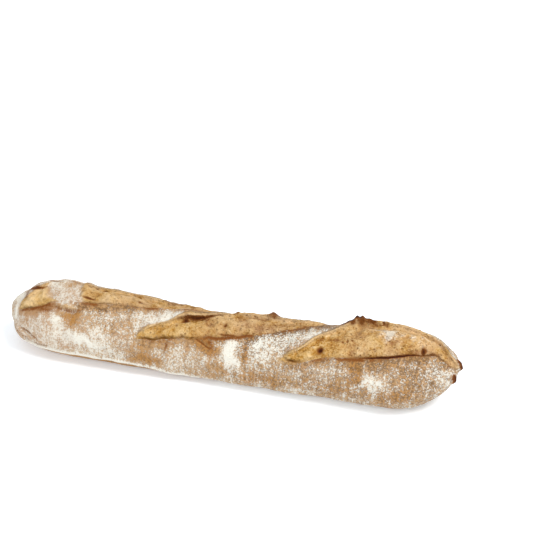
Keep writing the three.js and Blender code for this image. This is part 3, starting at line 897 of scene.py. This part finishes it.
def crust_finish():
    make = Maker("crust")
    place = make.scaled(make.object_place(), (1000, 1000, 1000))
    over = make.attribute("over", "Vector")
    torn, burn_and_shade = make.attribute("torn"), make.attribute("burn_and_shade")
    flour, toast_and_shade = make.attribute("flour"), make.attribute("toast_and_shade")
    relief, coarse, rosy = (make.attribute(name) for name in ("relief", "coarse", "rosy"))

    broad = make.noise(place, 18, 3, 0.55)
    cloud = make.noise(place, 6, 4, 0.6)
    mottle = make.noise(place, 2.4, 3, 0.6)
    grain = make.noise(place, 0.85, 2, 0.6)
    speck = make.noise(place, 1.4, 2, 0.7)
    streak = make.noise(make.scaled(over, (1, 0.2, 1)), 1.8, 3, 0.6)
    drag = make.noise(make.scaled(over, (1, 0.15, 1)), 5, 2, 0.5)

    redder = make.step(-0.4, 0.4, toast_and_shade + coarse * 0.3 + (broad - 0.5) * 2.4 + (cloud - 0.5) * 1.6)
    crust = make.mix(redder, PINK_CRUST, TAN_CRUST)
    browner = make.step(0.2, 0.8, toast_and_shade + (cloud - 0.5) * 2.0 + (mottle - 0.5) * 1.6)
    crust = make.mix(browner, crust, TOAST_AND_SHADE_CRUST)
    specks = make.step(0.52, 0.38, speck * 0.7 + mottle * 0.3 - coarse * 0.06)
    crust = make.mix(specks * (0.46 + coarse * 0.36), crust, SPECKED_CRUST)

    amount = flour + (broad - 0.5) * 0.4 + (streak - 0.5) * 0.9
    amount = (amount + (drag - 0.5) * 0.35 + (cloud - 0.5) * 0.7).at_most(0.84)
    dots = make.cells(place, 1.9)
    speckle = grain * 0.42 + speck * 0.26 + mottle * 0.12 + streak * 0.12 + dots * 0.08
    speckle = make.step(0.32, 0.68, speckle)
    cover = make.step(-0.2, 0.2, amount - speckle)
    veil = make.step(0.0, 1.1, amount)
    dusting = cover * (0.42 + coarse * 0.15) + veil * (0.48 - coarse * 0.15)
    floured = make.mix(dusting * (1 - burn_and_shade * 0.8), crust, FLOUR)

    gritty = (grain - 0.5) * (0.4 + coarse * 0.6) + (speck - 0.5) * (0.1 + coarse * 0.5)
    # Raised lumps and the ear's edges come out paler and hollows darker: painted light and shade,
    # on top of random tone.
    paler = relief * 0.45 + (cloud - 0.5) * 1.5 + (mottle - 0.5) * 1.3 + gritty * 1.2 - toast_and_shade * 0.3
    crumb = make.mix(make.step(0.45, -0.35, paler), PALE_CRUMB, GOLD_CRUMB)
    crumb = make.mix(make.step(-0.15, -0.75, paler), crumb, BROWN_CRUMB)
    crumb = make.mix(make.step(0.25, 0.8, paler), crumb, CREAM_CRUMB)
    rosier = rosy * make.step(0.32, 0.58, broad * 0.6 + cloud * 0.4) * 0.62
    crumb = make.mix(rosier, crumb, ROSY_CRUMB)
    crumbly = (grain - 0.5) * 0.8 + (speck - 0.5) * 1.0
    crumb = make.mix(make.step(-0.03, -0.26, crumbly) * (0.3 + coarse * 0.2), crumb, BROWN_CRUMB)
    crumb = make.mix(make.step(0.03, 0.26, crumbly) * 0.3, crumb, CREAM_CRUMB)
    # Pores are dents in the crumb, darkened as painted shade.
    pores = make.step(0.3, 0.12, make.cells(place, 2.6) + (grain - 0.5) * 0.5)
    crumb = make.mix(pores * make.step(0.5, 0.62, cloud + toast_and_shade * 0.08) * 0.7, crumb, BROWNED_AND_SHADED)
    dust = flour + (grain - 0.5) * 1.2 + (cloud - 0.5) * 1.4 + (mottle - 0.5) * 1.2
    crumb = make.mix(make.step(0.45, 1.2, dust) * 0.6, crumb, FLOUR)

    skin = make.mix(torn, floured, crumb)
    # Burnt places and painted shade both come out brown, the strongest nearly black.
    browned_and_shaded = make.step(0.1, 0.7, burn_and_shade + (grain - 0.5) * 0.7 + (mottle - 0.5) * 0.5)
    skin = make.mix(browned_and_shaded, skin, BROWNED_AND_SHADED)
    charred_and_shaded = make.step(0.6, 1.1, burn_and_shade + (grain - 0.5) * 0.5)
    skin = make.mix(charred_and_shaded, skin, CHARRED_AND_SHADED)

    rough = 0.72 + cover * 0.2 - burn_and_shade * 0.15 + (mottle - 0.5) * 0.15
    height = grain * (0.4 + cover * 0.5) + mottle * 0.6
    height = height + (speck * 1.5 + grain * 0.7 - pores * 0.6) * torn
    make.fill(make.shader, {
        "Base Color": skin,
        "Roughness": rough,
        "Normal": make.bump(height, 0.0012, 0.9),
        "Specular IOR Level": 0.12,
    })
    return make.material


def floor_finish():
    make = Maker("floor")
    make.fill(make.shader, {
        "Base Color": (0.90, 0.94, 0.98, 1),
        "Roughness": 0.9,
        "Specular IOR Level": 0.1,
        "Emission Color": (0.94, 0.97, 1, 1),
        "Emission Strength": 0.22,
    })
    return make.material


# ---- The loaf ----
skin = Skin()
skin.lump()
for slash in SLASHES:
    skin.slash(slash)
skin.details()
skin.paint()
loaf = make_loaf(skin)
loaf.data.materials.append(crust_finish())
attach(loaf, "root")
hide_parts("loaf")

# ---- Floor, light and camera, in m ----
FLOOR_SIZE = 12
FLOOR_DROP = 0.0002  # so that it doesn't lie in the foot of the loaf
bpy.ops.object.select_all(action="DESELECT")
bpy.ops.mesh.primitive_plane_add(size=FLOOR_SIZE, location=(0, 0, -FLOOR_DROP))
floor = bpy.context.object
floor.name = "floor"
floor.data.materials.append(floor_finish())


def add_light(name, place, size, watts, colour):
    bpy.ops.object.light_add(type="AREA", location=place)
    light = bpy.context.object
    light.name = name
    light.data.shape = "DISK"
    light.data.size = size
    light.data.energy = watts
    light.data.color = colour
    light.rotation_euler = (-Vector(place)).to_track_quat("-Z", "Y").to_euler()


add_light("key", (0.85, -0.05, 1.35), 0.9, 21, (1, 0.985, 0.965))
add_light("fill", (-0.45, -1.5, 1.1), 1.0, 12, (0.98, 0.99, 1))

world = bpy.context.scene.world or bpy.data.worlds.new("studio")
bpy.context.scene.world = world
world.use_nodes = True
backdrop = world.node_tree.nodes["Background"]
backdrop.inputs["Color"].default_value = (0.98, 0.99, 1, 1)
backdrop.inputs["Strength"].default_value = 0.7

CAMERA_PLACE = (0.23074, -0.70744, 0.53820)
CAMERA_AIM = Vector((-0.23375, 0.81520, -0.52992))
SENSOR = 36  # in mm
FOCAL_SHARE = 1400 / 540  # focal length over the picture's width
facing = CAMERA_AIM.to_track_quat("-Z", "Y").to_euler()
bpy.ops.object.camera_add(location=CAMERA_PLACE, rotation=facing)
camera = bpy.context.object
camera.data.sensor_width = SENSOR
camera.data.lens = SENSOR * FOCAL_SHARE
bpy.context.scene.camera = camera
bpy.context.scene.view_settings.view_transform = "Standard"

bpy.context.view_layer.update()
